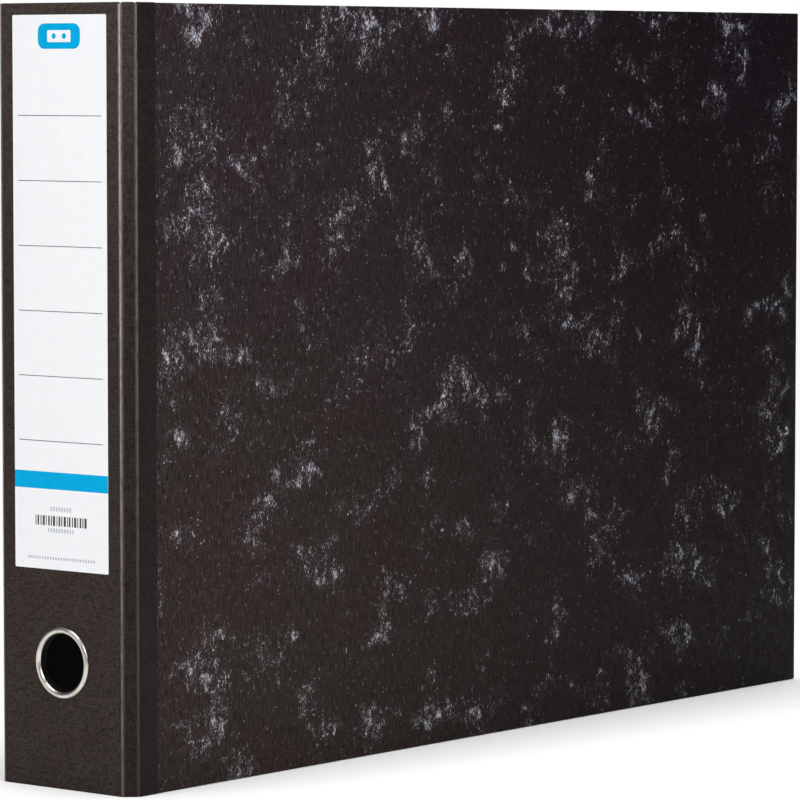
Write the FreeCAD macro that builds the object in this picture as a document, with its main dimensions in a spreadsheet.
"""Lever arch file, closed and standing on its bottom edges, in millimetres.

The file is modelled as it stands on a shelf: +Z is up, the spine faces -Y, the front cover is on +X,
the back cover on -X and the covers' free edges are at +Y.  The origin is the middle of the case,
at the height of the surface that it stands on.

Two frames are used below.  The case frame has its origin on the outer face of the spine: x across the
file, y inward from the spine, z up.  The mechanism frame has its origin on the lining of the back cover,
at the spine's outer plane and half way up: x is the rise above the lining, y the distance inward from
the spine and z the height above the middle of the file.
"""
import FreeCAD
import Part
import Sketcher

import math
import os

from FreeCAD import Placement, Rotation, Vector

DIMENSIONS = [
    # the case
    ("case_width", 75.2, "over the marbled paper of both covers"),
    ("case_depth", 470.0, "spine to the covers' free edges"),
    ("case_height", 318.0, "over the edges"),
    ("board_thick", 1.9, "greyboard"),
    ("marble_thick", 0.25, "marbled paper on the covers"),
    ("cloth_thick", 0.18, "black paper on the spine and folds"),
    ("lining_thick", 0.15, "lining paper inside"),
    ("turn_in", 15.0, "width of paper turned over the board's edges"),
    ("lining_inset", 4.5, "from the board's edge to the lining's edge"),
    ("fold_leg", 5.0, "each leg of the bevel between spine and cover"),
    ("crease_gap", 1.0, "crease's axis to the edge of each board"),
    ("web_radius", 0.7, "half the thickness of the creased web"),
    ("overlap_depth", 15.6, "spine's face to the end of the black paper"),
    # spine label and finger ring
    ("label_width", 51.4, "self-adhesive label"),
    ("label_bottom", 89.3, "its lower edge"),
    ("label_top", 313.2, "its upper edge"),
    ("label_thick", 0.15, "its paper"),
    ("label_corner", 0.6, "its corner radius"),
    ("ring_rise", 51.6, "height of the finger ring's centre"),
    ("ring_outer", 14.5, "radius of the flange"),
    ("ring_hole", 11.9, "radius of the finger hole"),
    ("ring_wall", 0.5, "thickness of the eyelet's barrel"),
    ("ring_proud", 0.9, "flange's height above the spine"),
    ("ring_fit", 0.05, "radial fit of the barrel in the spine"),
    ("ring_outer_round", 0.75, "rounding of the flange's outer edge"),
    ("ring_inner_round", 0.8, "rounding of the flange's inner edge"),
    ("washer_thick", 0.8, "washer inside the spine"),
    ("washer_round", 0.5, "rounding of its outer edge"),
    ("lip_thick", 0.45, "end of the barrel rolled over the washer"),
    ("lip_width", 1.0, "how far the roll reaches over the washer"),
    # base plate
    ("plate_thick", 1.2, "sheet steel"),
    ("plate_near", 16.0, "edge beside the spine"),
    ("plate_far", 70.0, "edge beside the papers"),
    ("plate_half", 78.0, "half the plate's height"),
    ("plate_corner", 8.0, "corner radius"),
    ("lug_thick", 1.4, "tabs that hold the arch wire"),
    ("lug_width", 7.8, "width of those tabs"),
    ("lug_inner", 23.0, "height of the inner pair of wire lugs"),
    ("lug_outer", 33.0, "height of the outer pair of wire lugs"),
    ("rivet_near", 22.5, "depth of the rivets beside the spine"),
    ("rivet_far", 63.5, "depth of the rivets beside the papers"),
    ("rivet_up", 70.0, "rivets above and below the middle"),
    ("rivet_shank", 2.4, "shank radius"),
    ("rivet_bore", 1.6, "bore radius"),
    ("rivet_head", 4.5, "radius of the head outside the cover"),
    ("rivet_roll", 3.5, "radius of the rolled end on the plate"),
    ("rivet_roll_thick", 0.7, "thickness of the rolled end"),
    ("head_thick", 0.8, "thickness of rivet and pin heads"),
    # posts and arches
    ("post_spacing", 80.0, "ISO 838 spacing of the two holes"),
    ("post_depth", 60.5, "axis of the posts"),
    ("post_radius", 2.5, "shaft radius"),
    ("post_top", 45.0, "top of the posts above the lining"),
    ("post_rim", 0.4, "bevel at the top of the shaft"),
    ("post_foot", 1.9, "radius of the riveted foot"),
    ("collar_radius", 4.2, "collar on the plate"),
    ("collar_thick", 1.4, "its thickness"),
    ("collar_round", 0.6, "rounding of its edge"),
    ("dish_radius", 2.1, "dish in the top of a post"),
    ("dish_slope", 32.0, "degrees, flank of the dish above the level"),
    ("tip_gap", 0.3, "between the arch's tip and the post"),
    ("tip_step", 0.2, "how much narrower the tip's cone is than the wire"),
    ("wire_radius", 2.1, "arch wire"),
    ("wire_depth", 23.5, "axis that the arches turn about"),
    ("wire_rise", 4.0, "height of that axis above the lining"),
    ("wire_bend", 4.5, "bend radius"),
    ("crank_reach", 12.0, "axis to the crank"),
    ("crank_half", 15.0, "height of the crank's arms above the middle"),
    # lever
    ("pivot_depth", 44.0, "axis of the lever"),
    ("pivot_rise", 7.0, "height of that axis above the lining"),
    ("pivot_radius", 1.75, "pin radius"),
    ("pivot_head", 2.9, "radius of the pin's heads"),
    ("pivot_head_round", 0.5, "rounding of the heads"),
    ("ear_gap", 10.0, "middle to the inner face of each ear"),
    ("ear_thick", 1.3, "the plate's ears beside the lever"),
    ("ear_half", 4.0, "half their width"),
    ("running_fit", 0.05, "radial clearance of everything that turns"),
    ("lever_half", 9.0, "half the lever's width"),
    ("lever_sheet", 1.0, "thickness of the pressed sheet"),
    ("lever_lean", -59.4, "degrees, from the plate's normal toward the spine"),
    ("lever_top", 4.2, "pivot to the outside of the web"),
    ("lever_round", 2.2, "rounding of the cheeks behind the pivot"),
    ("lever_end", 32.1, "end of the cheeks"),
    ("lever_end_low", -1.0, "underside of the cheeks at their end"),
    ("web_start", 2.0, "where the web between the cheeks begins"),
    ("roller_along", 6.8, "roller's axis along the lever"),
    ("roller_below", 1.95, "roller's axis below the lever's middle"),
    ("roller_radius", 2.8, "roller on the crank"),
    ("roller_half", 7.4, "half its length"),
    ("roller_pin", 1.2, "radius of its pin"),
    ("roller_cheek", 2.45, "cheek's reach round the roller's pin"),
    ("grip_start", 32.5, "moulded grip along the lever"),
    ("grip_end", 43.5, "its far end"),
    ("grip_low", -2.0, "its underside"),
    ("grip_high", 6.6, "its top"),
    ("grip_half", 16.0, "half its width"),
    ("grip_round", 3.2, "rounding along it"),
    ("grip_end_round", 1.4, "rounding round its ends"),
    ("tongue_start", 31.3, "the lever's tongue inside the grip"),
    ("tongue_end", 40.5, "end of the tongue"),
    ("tongue_half", 7.0, "half its width"),
    # leaf spring
    ("leaf_root", 45.5, "edge that the blade bends from"),
    ("leaf_tip", 32.5, "end of the blade under the crank"),
    ("leaf_rise", 1.5, "middle of the blade above the lining"),
    ("leaf_thick", 0.4, "spring steel"),
    ("leaf_half", 5.0, "half the blade's width"),
    ("foot_gap", 0.3, "blade to foot"),
    ("foot_length", 7.2, "riveted foot"),
    ("foot_rivet", 1.8, "radius of its rivet's head"),
    ("foot_rivet_thick", 0.5, "thickness of that head"),
    # compressor bar
    ("bar_rise", 3.0, "underside above the lining when it is down"),
    ("bar_thick", 3.2, "moulded bar"),
    ("bar_eye", 6.5, "post's axis to the edge of the bar"),
    ("bar_end", 48.0, "middle of the file to the end of the bar"),
    ("bar_offset", 10.5, "how far the middle stands off the posts' line"),
    ("bar_waist", 8.0, "width of the middle"),
    ("bar_middle", 20.0, "half the length of the middle"),
    ("bar_round", 3.5, "corner radius"),
    ("bar_edge_round", 0.8, "rounding of the upper edge"),
    ("bar_fit", 0.06, "radial clearance on the posts"),
]

ALIASES = {alias for alias, _, _ in DIMENSIONS}

document = FreeCAD.newDocument("LeverArchFile")
sheet = document.addObject("Spreadsheet::Sheet", "Sizes")
for row, (alias, number, note) in enumerate(DIMENSIONS, start=1):
    sheet.set(f"A{row}", str(number))
    sheet.setAlias(f"A{row}", alias)
    sheet.set(f"B{row}", note)
document.recompute()

sub_parts = []


# ---------------------------------------------------------------- expressions
def dim(text):
    """An expression in the sheet's words, such as dim('case_width / 2')."""
    return "(" + " ".join("Sizes." + word if word in ALIASES else word for word in text.split()) + ")"


def value(expression):
    return float(sheet.evalExpression(expression))


def minus(expression):
    return f"(-{expression})"


FREE_EDGE = dim("case_depth")
HALF_WIDTH = dim("case_width / 2")
COVER_OUT = dim("case_width / 2 - marble_thick")
COVER_IN = dim("case_width / 2 - marble_thick - board_thick")
LINING_IN = dim("case_width / 2 - marble_thick - board_thick - lining_thick")
COVER_STACK = dim("marble_thick + board_thick + lining_thick")
COVER_LOW = dim("cloth_thick + marble_thick")
COVER_HIGH = dim("case_height - cloth_thick - marble_thick")
SPINE_MIDDLE = dim("cloth_thick + board_thick / 2")
SPINE_FLAT = dim("case_width / 2 - fold_leg")
SPINE_CREASE_X = f"({SPINE_FLAT} - (sqrt(2) - 1) * {SPINE_MIDDLE})"
SPINE_CREASE_Y = SPINE_MIDDLE
COVER_CREASE_X = dim("case_width / 2 - marble_thick - board_thick / 2")
COVER_CREASE_Y = f"({COVER_CREASE_X} - {SPINE_FLAT} + sqrt(2) * {SPINE_MIDDLE})"
COVER_START = f"({COVER_CREASE_Y} + {dim('crease_gap')})"
STRIP_HALF = f"(({COVER_CREASE_X} - {SPINE_CREASE_X}) / sqrt(2))"
STRIP_PANEL_HALF = f"({STRIP_HALF} - {dim('crease_gap')})"

CASE = ("0", dim("0 - case_depth / 2"), "0")
MECHANISM = (f"(-{LINING_IN})", dim("0 - case_depth / 2"), dim("case_height / 2"))
LEVER = (f"(-{LINING_IN} + {dim('pivot_rise')})", dim("pivot_depth - case_depth / 2"), MECHANISM[2])
TOLERANCE = 0.01


# ---------------------------------------------------------------- building blocks
def move_to(item, position):
    """Binds an object's position to three expressions."""
    for axis, expression in zip("xyz", position):
        item.setExpression(f".Placement.Base.{axis}", expression)


def sub_part(item, label, position=CASE, rotation=Rotation()):
    item.Label = label
    item.Placement = Placement(Vector(), rotation)
    move_to(item, position)
    sub_parts.append(item)
    return item


def box(name, x_span, y_span, z_span):
    """A box between pairs of expressions."""
    item = document.addObject("Part::Box", name)
    move_to(item, (x_span[0], y_span[0], z_span[0]))
    for side, (low, high) in zip(("Length", "Width", "Height"), (x_span, y_span, z_span)):
        item.setExpression(side, f"{high} - {low}")
    return item


TOWARD = {
    "x": Rotation(Vector(0, 1, 0), 90),
    "y": Rotation(Vector(1, 0, 0), -90),
    "z": Rotation(),
}


def cylinder(name, axis, radius, start, length):
    """A cylinder from the point start along an axis; every size is an expression."""
    item = document.addObject("Part::Cylinder", name)
    item.Placement = Placement(Vector(), TOWARD[axis])
    move_to(item, start)
    item.setExpression("Radius", radius)
    item.setExpression("Height", length)
    return item


def fuse(name, items):
    item = document.addObject("Part::MultiFuse", name)
    item.Shapes = items
    item.Refine = True
    return item


def cut(name, base, tools):
    item = document.addObject("Part::Cut", name)
    item.Base = base
    item.Tool = tools[0] if len(tools) == 1 else fuse(name + "_tools", tools)
    item.Refine = True
    return item


def body_with_sketch(name, plane="XY_Plane"):
    body = document.addObject("PartDesign::Body", name)
    return body, add_sketch(body, plane)


def add_sketch(body, plane="XY_Plane"):
    sketch = body.newObject("Sketcher::SketchObject", body.Name + "_sketch")
    origin_plane = next(item for item in body.Origin.OriginFeatures if item.Role == plane)
    sketch.AttachmentSupport = [(origin_plane, "")]
    sketch.MapMode = "FlatFace"
    return sketch


def outline(sketch, points):
    """A closed outline of straight edges, each corner fixed by two expressions."""
    corners = [Vector(value(x), value(y), 0) for x, y in points]
    first = sketch.GeometryCount
    count = len(corners)
    for index, corner in enumerate(corners):
        sketch.addGeometry(Part.LineSegment(corner, corners[(index + 1) % count]), False)
    for index in range(count):
        edge = first + index
        after = first + (index + 1) % count
        sketch.addConstraint(Sketcher.Constraint("Coincident", edge, 2, after, 1))
    for index, (x, y) in enumerate(points):
        edge = first + index
        for kind, expression in (("DistanceX", x), ("DistanceY", y)):
            datum = Sketcher.Constraint(kind, -1, 1, edge, 1, value(expression))
            number = sketch.addConstraint(datum)
            sketch.setExpression(f"Constraints[{number}]", expression)


def circle(sketch, x, y, radius):
    centre = Vector(value(x), value(y), 0)
    edge = sketch.addGeometry(Part.Circle(centre, Vector(0, 0, 1), value(radius)), False)
    for kind, expression in (("DistanceX", x), ("DistanceY", y)):
        number = sketch.addConstraint(Sketcher.Constraint(kind, -1, 1, edge, 3, value(expression)))
        sketch.setExpression(f"Constraints[{number}]", expression)
    number = sketch.addConstraint(Sketcher.Constraint("Radius", edge, value(radius)))
    sketch.setExpression(f"Constraints[{number}]", radius)


def pad(body, sketch, length, symmetric=False):
    feature = body.newObject("PartDesign::Pad", body.Name + "_pad")
    feature.Profile = sketch
    feature.SideType = "Symmetric" if symmetric else "One side"
    feature.setExpression("Length", length)
    return feature


def pocket(body, sketch, length=None):
    """Cuts equally to both sides of the sketch, through everything when no length is given."""
    feature = body.newObject("PartDesign::Pocket", body.Name + "_pocket")
    feature.Profile = sketch
    feature.SideType = "Symmetric"
    if length is None:
        feature.Type = "ThroughAll"
    else:
        feature.setExpression("Length", length)
    return feature


def slab(name, x_span, y_span, z_span):
    """A box that is a body of its own, so that its placement stays free."""
    body, sketch = body_with_sketch(name)
    (left, right), (near, far), (low, high) = x_span, y_span, z_span
    outline(sketch, [(left, near), (right, near), (right, far), (left, far)])
    sketch.setExpression(".AttachmentOffset.Base.z", low)
    pad(body, sketch, f"{high} - {low}")
    return body


def revolve(body, sketch, axis):
    feature = body.newObject("PartDesign::Revolution", body.Name + "_revolution")
    feature.Profile = sketch
    feature.ReferenceAxis = (sketch, [axis])
    feature.Angle = 360
    return feature


def fillet(body, alias, chosen):
    """Rounds the edges of the body's last feature that the test chosen(edge) picks."""
    document.recompute()
    base = body.Tip
    names = [f"Edge{index}" for index, edge in enumerate(base.Shape.Edges, start=1) if chosen(edge)]
    feature = body.newObject("PartDesign::Fillet", body.Name + "_fillet")
    feature.Base = (base, names)
    feature.setExpression("Radius", dim(alias))
    return feature


def straight_along(axis):
    def test(edge):
        if edge.Curve.TypeId != "Part::GeomLine":
            return False
        return abs(edge.tangentAt(edge.FirstParameter).dot(axis)) > 0.999

    return test


def circle_at(axis, level, radius):
    """Picks the circles of one radius whose plane is at one level along an axis."""
    def test(edge):
        if edge.Curve.TypeId != "Part::GeomCircle" or abs(edge.Curve.Radius - radius) > TOLERANCE:
            return False
        return abs(edge.Curve.Center.dot(axis) - level) < TOLERANCE

    return test


X_AXIS, Y_AXIS, Z_AXIS = Vector(1, 0, 0), Vector(0, 1, 0), Vector(0, 0, 1)


# ---------------------------------------------------------------- covers
def mirrored(side, low, high):
    """A span across the file: as given on the front side, mirrored on the back side."""
    return (low, high) if side > 0 else (minus(high), minus(low))


def turn_in_boxes(name, side, thick, depth_span, low, high):
    """The recesses, or the papers that fill them, along the top and bottom of a cover's inner face."""
    across = mirrored(side, COVER_IN, f"({COVER_IN} + {thick})")
    turn = dim("turn_in")
    return [
        box(name + "_bottom", across, depth_span, (low, turn)),
        box(name + "_top", across, depth_span, (dim("case_height - turn_in"), high)),
    ]


def cover_board(name, side, holes):
    across = mirrored(side, COVER_IN, COVER_OUT)
    edge = dim("case_depth - marble_thick")
    blank = box(name + "_blank", across, (COVER_START, edge), (COVER_LOW, COVER_HIGH))
    paper = dim("marble_thick")
    recesses = turn_in_boxes(name, side, paper, (COVER_START, edge), COVER_LOW, COVER_HIGH)
    inner = mirrored(side, COVER_IN, f"({COVER_IN} + {paper})")
    recesses.append(box(name + "_edge", inner, (dim("case_depth - turn_in"), edge), (COVER_LOW, COVER_HIGH)))
    return sub_part(cut(name, blank, recesses + holes), name)


def marbled_paper(name, side, holes):
    paper = dim("marble_thick")
    across = mirrored(side, COVER_IN, COVER_OUT)
    low, high = dim("cloth_thick"), dim("case_height - cloth_thick")
    depth = (COVER_START, FREE_EDGE)
    edge = dim("case_depth - marble_thick")
    inner = mirrored(side, COVER_IN, f"({COVER_IN} + {paper})")
    sheets = turn_in_boxes(name, side, paper, (COVER_START, edge), COVER_LOW, COVER_HIGH)
    sheets += [
        box(name + "_face", mirrored(side, COVER_OUT, HALF_WIDTH), depth, (low, high)),
        box(name + "_low_edge", across, depth, (low, COVER_LOW)),
        box(name + "_high_edge", across, depth, (COVER_HIGH, high)),
        box(name + "_free_edge", across, (edge, FREE_EDGE), (COVER_LOW, COVER_HIGH)),
        box(name + "_turn", inner, (dim("case_depth - turn_in"), edge), (COVER_LOW, COVER_HIGH)),
    ]
    whole = fuse(name + "_sheet" if holes else name, sheets)
    return sub_part(cut(name, whole, holes) if holes else whole, name)


def overlap_paper(name, side):
    """The black paper's end on a cover, folded over the cover's top and bottom edges."""
    depth = (COVER_START, dim("overlap_depth"))
    outer = dim("case_width / 2 + cloth_thick")
    across = mirrored(side, COVER_IN, HALF_WIDTH)
    sheets = [
        box(name + "_face", mirrored(side, HALF_WIDTH, outer), depth, ("0", dim("case_height"))),
        box(name + "_low_edge", across, depth, ("0", dim("cloth_thick"))),
        box(name + "_high_edge", across, depth, (dim("case_height - cloth_thick"), dim("case_height"))),
    ]
    return sub_part(fuse(name, sheets), name)


def cover_lining(name, side, holes):
    sheet_of_paper = slab(
        name + "_sheet",
        mirrored(side, LINING_IN, COVER_IN),
        (COVER_START, dim("case_depth - lining_inset")),
        (dim("lining_inset"), dim("case_height - lining_inset")),
    )
    return sub_part(cut(name, sheet_of_paper, holes) if holes else sheet_of_paper, name)


def rivet_holes(name):
    """Four clearance holes through the back cover, in the case frame."""
    holes = []
    for depth in ("rivet_near", "rivet_far"):
        for sign in ("-", "+"):
            start = (minus(HALF_WIDTH), dim(depth), dim(f"case_height / 2 {sign} rivet_up"))
            radius = dim("rivet_shank + running_fit")
            holes.append(cylinder(name + "_hole", "x", radius, start, dim("case_width / 4")))
    return holes


def covers():
    for name, side in (("front", 1), ("back", -1)):
        for make, piece in (
            (cover_board, "board"),
            (marbled_paper, "marbled_paper"),
            (cover_lining, "lining"),
        ):
            label = f"{name}_{piece}"
            make(label, side, rivet_holes(label) if side < 0 else [])
        overlap_paper(f"{name}_overlap_paper", side)


# ---------------------------------------------------------------- spine and hinge strips
def panel(name, half, position, rotation=Rotation(), holes=()):
    """A spine or hinge strip: board, black paper round its ends, lining; its outer face is y = 0."""
    cloth, board, lining = dim("cloth_thick"), dim("board_thick"), dim("lining_thick")
    across = (minus(half), half)
    board_in = f"({cloth} + {board})"
    top = dim("case_height - cloth_thick")
    recess = f"({board_in} - {cloth})"
    ends = [(cloth, dim("turn_in")), (dim("case_height - turn_in"), top)]
    blank = box(name + "_blank", across, (cloth, board_in), (cloth, top))
    recesses = [box(name + "_recess", across, (recess, board_in), span) for span in ends]
    sub_part(cut(name + "_board", blank, recesses + list(holes)), name + "_board", position, rotation)

    turns = [box(name + "_turn", across, (recess, board_in), span) for span in ends]
    sheets = turns + [
        box(name + "_face", across, ("0", cloth), ("0", dim("case_height"))),
        box(name + "_low_edge", across, (cloth, board_in), ("0", cloth)),
        box(name + "_high_edge", across, (cloth, board_in), (top, dim("case_height"))),
    ]
    paper = fuse(name + "_paper_sheet", sheets)
    if holes:
        paper = cut(name + "_paper", paper, list(holes))
    sub_part(paper, name + "_paper", position, rotation)

    inner = slab(
        name + "_lining_sheet",
        across,
        (board_in, f"({board_in} + {lining})"),
        (dim("lining_inset"), dim("case_height - lining_inset")),
    )
    if holes:
        inner = cut(name + "_lining", inner, list(holes))
    sub_part(inner, name + "_lining", position, rotation)


def spine():
    start = ("0", dim("0 - case_width / 4"), dim("ring_rise"))
    radius = dim("ring_hole + ring_wall + ring_fit")
    finger_hole = cylinder("finger_hole", "y", radius, start, dim("case_width / 2"))
    half = f"({SPINE_CREASE_X} - {dim('crease_gap')})"
    panel("spine", half, CASE, holes=[finger_hole])


def hinge_strip(name, side):
    """The narrow bevel board between spine and cover, with a thin creased web at each edge."""
    offset = f"{SPINE_MIDDLE} / sqrt(2)"
    middle_x = f"(({SPINE_CREASE_X} + {COVER_CREASE_X}) / 2 + {offset})"
    middle_y = f"(({SPINE_CREASE_Y} + {COVER_CREASE_Y}) / 2 - {offset} - {dim('case_depth / 2')})"
    position = (middle_x if side > 0 else minus(middle_x), middle_y, "0")
    rotation = Rotation(Z_AXIS, 45 * side)
    panel(f"{name}_hinge", STRIP_PANEL_HALF, position, rotation)

    top = dim("case_height - cloth_thick")
    thick = (f"({SPINE_MIDDLE} - {dim('web_radius')})", f"({SPINE_MIDDLE} + {dim('web_radius')})")
    for crease, end in (("spine", -side), ("cover", side)):
        label = f"{name}_{crease}_crease"
        across = mirrored(end, STRIP_PANEL_HALF, STRIP_HALF)
        axis = STRIP_HALF if end > 0 else minus(STRIP_HALF)
        web = box(label + "_web", across, thick, (dim("cloth_thick"), top))
        start = (axis, SPINE_MIDDLE, dim("cloth_thick"))
        nose = cylinder(label + "_nose", "z", dim("web_radius"), start, f"{top} - {dim('cloth_thick')}")
        sub_part(fuse(label, [web, nose]), label, position, rotation)


def spine_label():
    body, sketch = body_with_sketch("spine_label", "XZ_Plane")
    half = dim("label_width / 2")
    low, high = dim("label_bottom"), dim("label_top")
    outline(sketch, [(minus(half), low), (half, low), (half, high), (minus(half), high)])
    pad(body, sketch, dim("label_thick"))
    fillet(body, "label_corner", straight_along(Y_AXIS))
    sub_part(body, "spine_label")


def finger_ring():
    """A flanged eyelet rolled over a washer on the inner side, both turned about the hole's axis."""
    stack = dim("cloth_thick + board_thick + lining_thick")
    hole, flange = dim("ring_hole"), dim("ring_outer")
    barrel = dim("ring_hole + ring_wall")
    proud = dim("0 - ring_proud")
    washer_face = f"({stack} + {dim('washer_thick')})"
    roll_start = f"({washer_face} + {dim('ring_fit')})"
    roll_end = f"({roll_start} + {dim('lip_thick')})"
    lip = f"({barrel} + {dim('lip_width')})"
    position = ("0", dim("0 - case_depth / 2"), dim("ring_rise"))

    body, sketch = body_with_sketch("finger_ring")
    outline(sketch, [
        (hole, proud), (flange, proud), (flange, "0"), (barrel, "0"),
        (barrel, roll_start), (lip, roll_start), (lip, roll_end), (hole, roll_end),
    ])
    revolve(body, sketch, "V_Axis")
    level = value(proud)
    fillet(body, "ring_outer_round", circle_at(Y_AXIS, level, value(flange)))
    fillet(body, "ring_inner_round", circle_at(Y_AXIS, level, value(hole)))
    sub_part(body, "finger_ring", position)

    body, sketch = body_with_sketch("finger_ring_washer")
    inner = f"({barrel} + {dim('ring_fit')})"
    outline(sketch, [(inner, stack), (flange, stack), (flange, washer_face), (inner, washer_face)])
    revolve(body, sketch, "V_Axis")
    fillet(body, "washer_round", circle_at(Y_AXIS, value(washer_face), value(flange)))
    sub_part(body, "finger_ring_washer", position)


# ---------------------------------------------------------------- mechanism
def lug(name, depth, rise, width, level, thick, hole):
    """A tab bent up from the plate, round at the top, with a hole for a wire or pin."""
    side = f"({width} / 2)"
    stem = box(
        name + "_stem",
        (dim("plate_thick / 2"), rise),
        (f"({depth} - {side})", f"({depth} + {side})"),
        (level, f"({level} + {thick})"),
    )
    crown = cylinder(name + "_crown", "z", side, (rise, depth, level), thick)
    bore = cylinder(name + "_bore", "z", hole, (rise, depth, level), thick)
    return cut(name, fuse(name + "_solid", [stem, crown]), [bore])


def both_levels(height, thick):
    """The low ends of a pair of equal slabs, one above and one below the middle of the file."""
    return (height, f"(-{height} - {thick})")


def base_plate():
    body, sketch = body_with_sketch("plate_blank", "YZ_Plane")
    near, far, half = dim("plate_near"), dim("plate_far"), dim("plate_half")
    outline(sketch, [(near, minus(half)), (far, minus(half)), (far, half), (near, half)])
    pad(body, sketch, dim("plate_thick"))
    holes = add_sketch(body, "YZ_Plane")
    for sign in ("0 -", "0 +"):
        circle(holes, dim("post_depth"), dim(f"{sign} post_spacing / 2"), dim("post_foot"))
        for depth in ("rivet_near", "rivet_far"):
            circle(holes, dim(depth), dim(f"{sign} rivet_up"), dim("rivet_shank + running_fit"))
    pocket(body, holes)
    fillet(body, "plate_corner", straight_along(X_AXIS))

    tabs = [body]
    wire_hole = dim("wire_radius + running_fit")
    for height in ("lug_inner", "lug_outer"):
        for level in both_levels(dim(height), dim("lug_thick")):
            tabs.append(lug(f"wire_{height}", dim("wire_depth"), dim("wire_rise"), dim("lug_width"),
                            level, dim("lug_thick"), wire_hole))
    for level in both_levels(dim("ear_gap"), dim("ear_thick")):
        tabs.append(lug("lever_ear", dim("pivot_depth"), dim("pivot_rise"), dim("2 * ear_half"),
                        level, dim("ear_thick"), dim("pivot_radius")))
    sub_part(fuse("base_plate", tabs), "base_plate", MECHANISM)


def posts():
    """Two fixed posts, turned about x, each with a foot in the plate, a collar and a dished top."""
    plate, foot, collar = dim("plate_thick"), dim("post_foot"), dim("collar_radius")
    shaft, top, rim = dim("post_radius"), dim("post_top"), dim("dish_radius")
    collar_top = dim("plate_thick + collar_thick")
    shoulder = dim("post_top - post_rim")
    dish_bottom = f"({top} - {rim} * tan({dim('dish_slope')} * 1 deg))"
    for name, sign in (("lower_post", "-"), ("upper_post", "+")):
        body, sketch = body_with_sketch(name)
        outline(sketch, [
            ("0", "0"), ("0", foot), (plate, foot), (plate, collar), (collar_top, collar),
            (collar_top, shaft), (shoulder, shaft), (top, rim), (dish_bottom, "0"),
        ])
        revolve(body, sketch, "H_Axis")
        fillet(body, "collar_round", circle_at(X_AXIS, value(collar_top), value(collar)))
        height = dim(f"case_height / 2 {sign} post_spacing / 2")
        sub_part(body, name, (MECHANISM[0], dim("post_depth - case_depth / 2"), height))


def quarter_turn(start, corner, end):
    """The arc that is tangent to start-corner and corner-end, both of one length."""
    inward = (start - corner) + (end - corner)
    centre = corner + inward
    middle = centre - inward.normalize() * (start - corner).Length
    return Part.Arc(start, middle, end).toShape()


def arch_wire():
    """Both arches, their axis and the crank: one round wire bent to shape, with coned tips."""
    rise, depth, bend = (value(dim(word)) for word in ("wire_rise", "wire_depth", "wire_bend"))
    radius = value(dim("wire_radius"))
    height = value(dim("post_spacing / 2"))
    tip = value(dim("post_top + tip_gap"))
    post = value(dim("post_depth"))
    crank = value(dim("wire_depth + crank_reach"))
    arm = value(dim("crank_half"))

    def half_path(sign):
        """From an arch's tip to the middle of the crank."""
        crown = Vector(tip + (post - depth) / 2, (post + depth) / 2, sign * height)
        start = Vector(tip, post, sign * height)
        shoulder = Vector(tip, depth, sign * height)
        edges = [Part.Arc(start, crown, shoulder).toShape()]
        here = shoulder
        corners = [
            Vector(rise, depth, sign * height),
            Vector(rise, depth, sign * arm),
            Vector(rise, crank, sign * arm),
        ]
        middle = Vector(rise, crank, 0)
        for corner, after in zip(corners, corners[1:] + [middle]):
            before = corner + (here - corner).normalize() * bend
            leaving = corner + (after - corner).normalize() * bend
            edges.append(Part.LineSegment(here, before).toShape())
            edges.append(quarter_turn(before, corner, leaving))
            here = leaving
        edges.append(Part.LineSegment(here, middle).toShape())
        return edges

    path = Part.Wire(Part.__sortEdges__(half_path(1) + half_path(-1)))
    first = path.OrderedVertexes[0].Point
    profile = Part.Wire([Part.makeCircle(radius, first, X_AXIS)])
    wire = path.makePipeShell([profile], True, False)
    if abs(wire.Volume / (path.Length * math.pi * radius ** 2) - 1) > 0.01:
        raise RuntimeError("the arch wire's sweep has the wrong volume")
    slope = math.tan(math.radians(value(dim("dish_slope"))))
    tip_radius = radius - value(dim("tip_step"))
    cones = [
        Part.makeCone(tip_radius, 0, tip_radius * slope, Vector(tip, post, sign * height), Vector(-1, 0, 0))
        for sign in (-1, 1)
    ]
    item = document.addObject("Part::Feature", "arch_wire")
    item.Shape = wire.multiFuse(cones).removeSplitter()
    sub_part(item, "arch_wire", MECHANISM)


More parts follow.
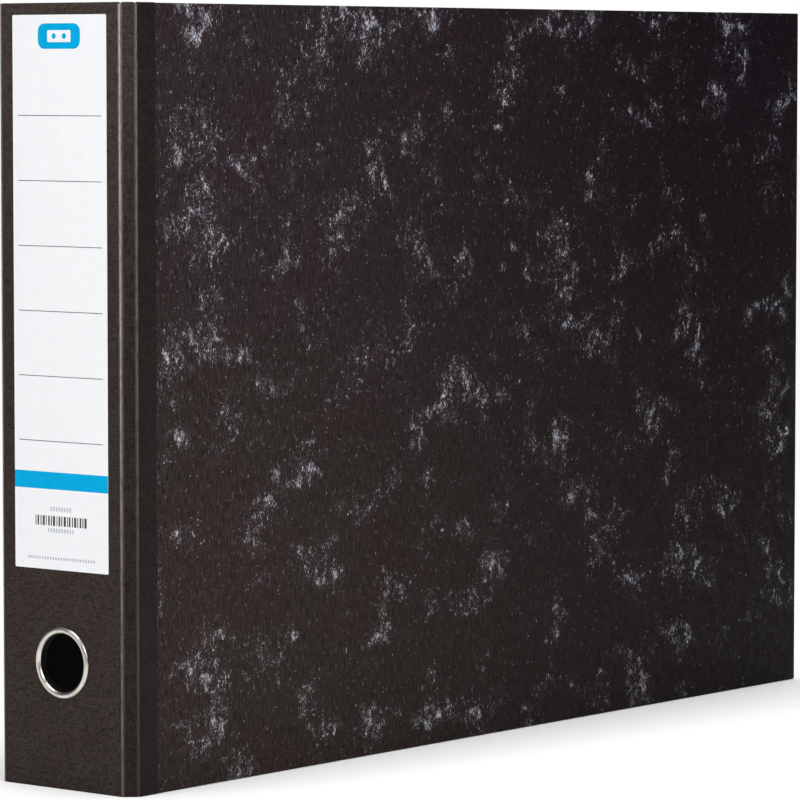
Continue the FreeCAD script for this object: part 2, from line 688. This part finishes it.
def lever():
    """A channel pressed from sheet: two cheeks, a web along the top and a tongue inside the grip.

    In the lever's own frame x runs from the pivot to the grip and y toward the side away from the crank.
    """
    rotation = Rotation(Z_AXIS, value(dim("lever_lean")))
    top, half = dim("lever_top"), dim("lever_half")
    below_web = dim("lever_top - lever_sheet")
    end = dim("lever_end")
    roller_x, roller_y = dim("roller_along"), dim("0 - roller_below")
    behind = minus(top)
    belly = dim("0 - roller_below - roller_cheek")

    body, sketch = body_with_sketch("lever_channel")
    outline(sketch, [
        (behind, behind),
        (dim("roller_along - roller_cheek"), belly), (dim("roller_along + roller_cheek"), belly),
        (end, dim("lever_end_low")), (end, top), (behind, top),
    ])
    pad(body, sketch, f"2 * {half}", symmetric=True)
    hollow = add_sketch(body)
    web_start = dim("web_start")
    far, outside = f"(2 * {end})", f"(3 * {top})"
    outline(hollow, [
        (minus(outside), minus(outside)), (far, minus(outside)), (far, below_web),
        (web_start, below_web), (web_start, outside), (minus(outside), outside),
    ])
    pocket(body, hollow, dim("2 * ( lever_half - lever_sheet )"))
    fillet(body, "lever_round", behind_pivot)
    bores = add_sketch(body)
    circle(bores, "0", "0", dim("pivot_radius + running_fit"))
    circle(bores, roller_x, roller_y, dim("roller_pin"))
    pocket(body, bores)
    tongue_width = (dim("0 - tongue_half"), dim("tongue_half"))
    tongue_length = (dim("tongue_start"), dim("tongue_end"))
    tongue = box("lever_tongue", tongue_length, (below_web, top), tongue_width)
    sub_part(fuse("lever", [body, tongue]), "lever", LEVER, rotation)

    body, sketch = body_with_sketch("roller_pin_blank")
    circle(sketch, roller_x, roller_y, dim("roller_pin"))
    pad(body, sketch, f"2 * {half}", symmetric=True)
    sub_part(body, "roller_pin", LEVER, rotation)

    body, sketch = body_with_sketch("roller_blank")
    circle(sketch, roller_x, roller_y, dim("roller_radius"))
    circle(sketch, roller_x, roller_y, dim("roller_pin + running_fit"))
    pad(body, sketch, dim("2 * roller_half"), symmetric=True)
    sub_part(body, "lever_roller", LEVER, rotation)

    body, sketch = body_with_sketch("grip_blank")
    start, finish, low, high = (dim(word) for word in ("grip_start", "grip_end", "grip_low", "grip_high"))
    outline(sketch, [(start, low), (finish, low), (finish, high), (start, high)])
    pad(body, sketch, dim("2 * grip_half"), symmetric=True)
    fillet(body, "grip_round", straight_along(Z_AXIS))
    fillet(body, "grip_end_round", on_grip_end)
    slot = box("grip_slot", tongue_length, (below_web, top), tongue_width)
    sub_part(cut("lever_grip", body, [slot]), "lever_grip", LEVER, rotation)


def behind_pivot(edge):
    """Picks the cheeks' square corners behind the pivot."""
    return straight_along(Z_AXIS)(edge) and edge.CenterOfMass.x < -value(dim("lever_top")) + TOLERANCE


def on_grip_end(edge):
    return abs(abs(edge.CenterOfMass.z) - value(dim("grip_half"))) < TOLERANCE


def lever_pivot_pin():
    radius, head = dim("pivot_radius"), dim("pivot_head")
    outer = dim("ear_gap + ear_thick")
    head_end = f"({outer} + {dim('head_thick')})"
    body, sketch = body_with_sketch("lever_pivot_pin", "XZ_Plane")
    outline(sketch, [
        ("0", minus(head_end)), (head, minus(head_end)), (head, minus(outer)), (radius, minus(outer)),
        (radius, outer), (head, outer), (head, head_end), ("0", head_end),
    ])
    revolve(body, sketch, "V_Axis")
    for end in (head_end, minus(head_end)):
        fillet(body, "pivot_head_round", circle_at(Z_AXIS, value(end), value(head)))
    sub_part(body, "lever_pivot_pin", LEVER)


def leaf_spring():
    """A flat blade under the crank, and the riveted foot that it bends from."""
    half = dim("leaf_half")
    low, high = dim("leaf_rise - leaf_thick / 2"), dim("leaf_rise + leaf_thick / 2")
    blade = slab("leaf_blade", (low, high), (dim("leaf_tip"), dim("leaf_root")), (minus(half), half))
    sub_part(blade, "leaf_spring", MECHANISM)
    foot_span = (dim("leaf_root + foot_gap"), dim("leaf_root + foot_gap + foot_length"))
    foot = box("foot_pad", (dim("plate_thick"), high), foot_span, (minus(half), half))
    middle = (high, dim("leaf_root + foot_gap + foot_length / 2"), "0")
    head = cylinder("foot_rivet_head", "x", dim("foot_rivet"), middle, dim("foot_rivet_thick"))
    sub_part(fuse("leaf_spring_foot", [foot, head]), "leaf_spring_foot", MECHANISM)


def compressor_bar():
    """The bar that holds the papers down: two eyes on the posts and a middle set clear of the lever."""
    body, sketch = body_with_sketch("compressor_bar", "YZ_Plane")
    near, far = dim("post_depth - bar_eye"), dim("post_depth + bar_eye")
    outer = dim("post_depth + bar_offset")
    inner = dim("post_depth + bar_offset - bar_waist")
    end = dim("bar_end")
    eye, knee = dim("post_spacing / 2 - bar_eye"), dim("post_spacing / 2 - 2 * bar_eye")
    upper = [(near, end), (near, eye), (inner, dim("bar_middle"))]
    outside = [(outer, knee), (far, end)]
    outline(sketch,
            upper + [(y, minus(z)) for y, z in reversed(upper)]
            + [(y, minus(z)) for y, z in reversed(outside)] + outside)
    pad(body, sketch, dim("bar_thick"))
    fillet(body, "bar_round", straight_along(X_AXIS))
    eyes = add_sketch(body, "YZ_Plane")
    for sign in ("0 -", "0 +"):
        circle(eyes, dim("post_depth"), dim(f"{sign} post_spacing / 2"), dim("post_radius + bar_fit"))
    pocket(body, eyes)
    top = value(dim("bar_thick"))

    def on_upper_face(edge):
        return abs(edge.BoundBox.XMin - top) < TOLERANCE and edge.BoundBox.XLength < TOLERANCE

    fillet(body, "bar_edge_round", on_upper_face)
    sub_part(body, "compressor_bar", (f"({MECHANISM[0]} + {dim('bar_rise')})",) + MECHANISM[1:])


def rivets():
    """Four hollow rivets, from a flat head outside the cover to a rolled end on the plate."""
    outside = minus(COVER_STACK)
    head_start = f"({outside} - {dim('head_thick')})"
    plate = dim("plate_thick")
    items = []
    for depth in ("rivet_near", "rivet_far"):
        for sign in ("0 -", "0 +"):
            y, z = dim(depth), dim(f"{sign} rivet_up")
            solid = fuse("rivet_solid", [
                cylinder("rivet_head", "x", dim("rivet_head"), (head_start, y, z), dim("head_thick")),
                cylinder("rivet_shank", "x", dim("rivet_shank"), (outside, y, z), f"{plate} - {outside}"),
                cylinder("rivet_end", "x", dim("rivet_roll"), (plate, y, z), dim("rivet_roll_thick")),
            ])
            length = f"{plate} + {dim('rivet_roll_thick')} - {outside}"
            bore = cylinder("rivet_hollow", "x", dim("rivet_bore"), (outside, y, z), length)
            items.append(cut("rivet", solid, [bore]))
    group = document.addObject("Part::Compound", "mechanism_rivets")
    group.Links = items
    sub_part(group, "mechanism_rivets", MECHANISM)


# ---------------------------------------------------------------- the whole file
def check_document():
    """Stops before anything is written if a feature failed or a shape is empty or broken."""
    document.recompute()
    for item in document.Objects:
        if "Invalid" in item.State or "Error" in item.State:
            raise RuntimeError(f"{item.Name} failed: {item.State}")
    for item in sub_parts:
        if item.Shape.isNull() or not item.Shape.isValid() or not item.Shape.Solids:
            raise RuntimeError(f"{item.Label} has no valid solid")


def export():
    os.makedirs("parts", exist_ok=True)
    for item in sub_parts:
        item.Shape.exportStep(os.path.join("parts", item.Label + ".step"))


covers()
spine()
hinge_strip("front", 1)
hinge_strip("back", -1)
spine_label()
finger_ring()
base_plate()
posts()
arch_wire()
lever()
lever_pivot_pin()
leaf_spring()
compressor_bar()
rivets()
check_document()
export()
for item in sub_parts:
    bounds = item.Shape.BoundBox
    print(f"{item.Label:24s} {item.Shape.Volume:12.1f} mm3  {len(item.Shape.Solids)} solid(s)  {bounds}")
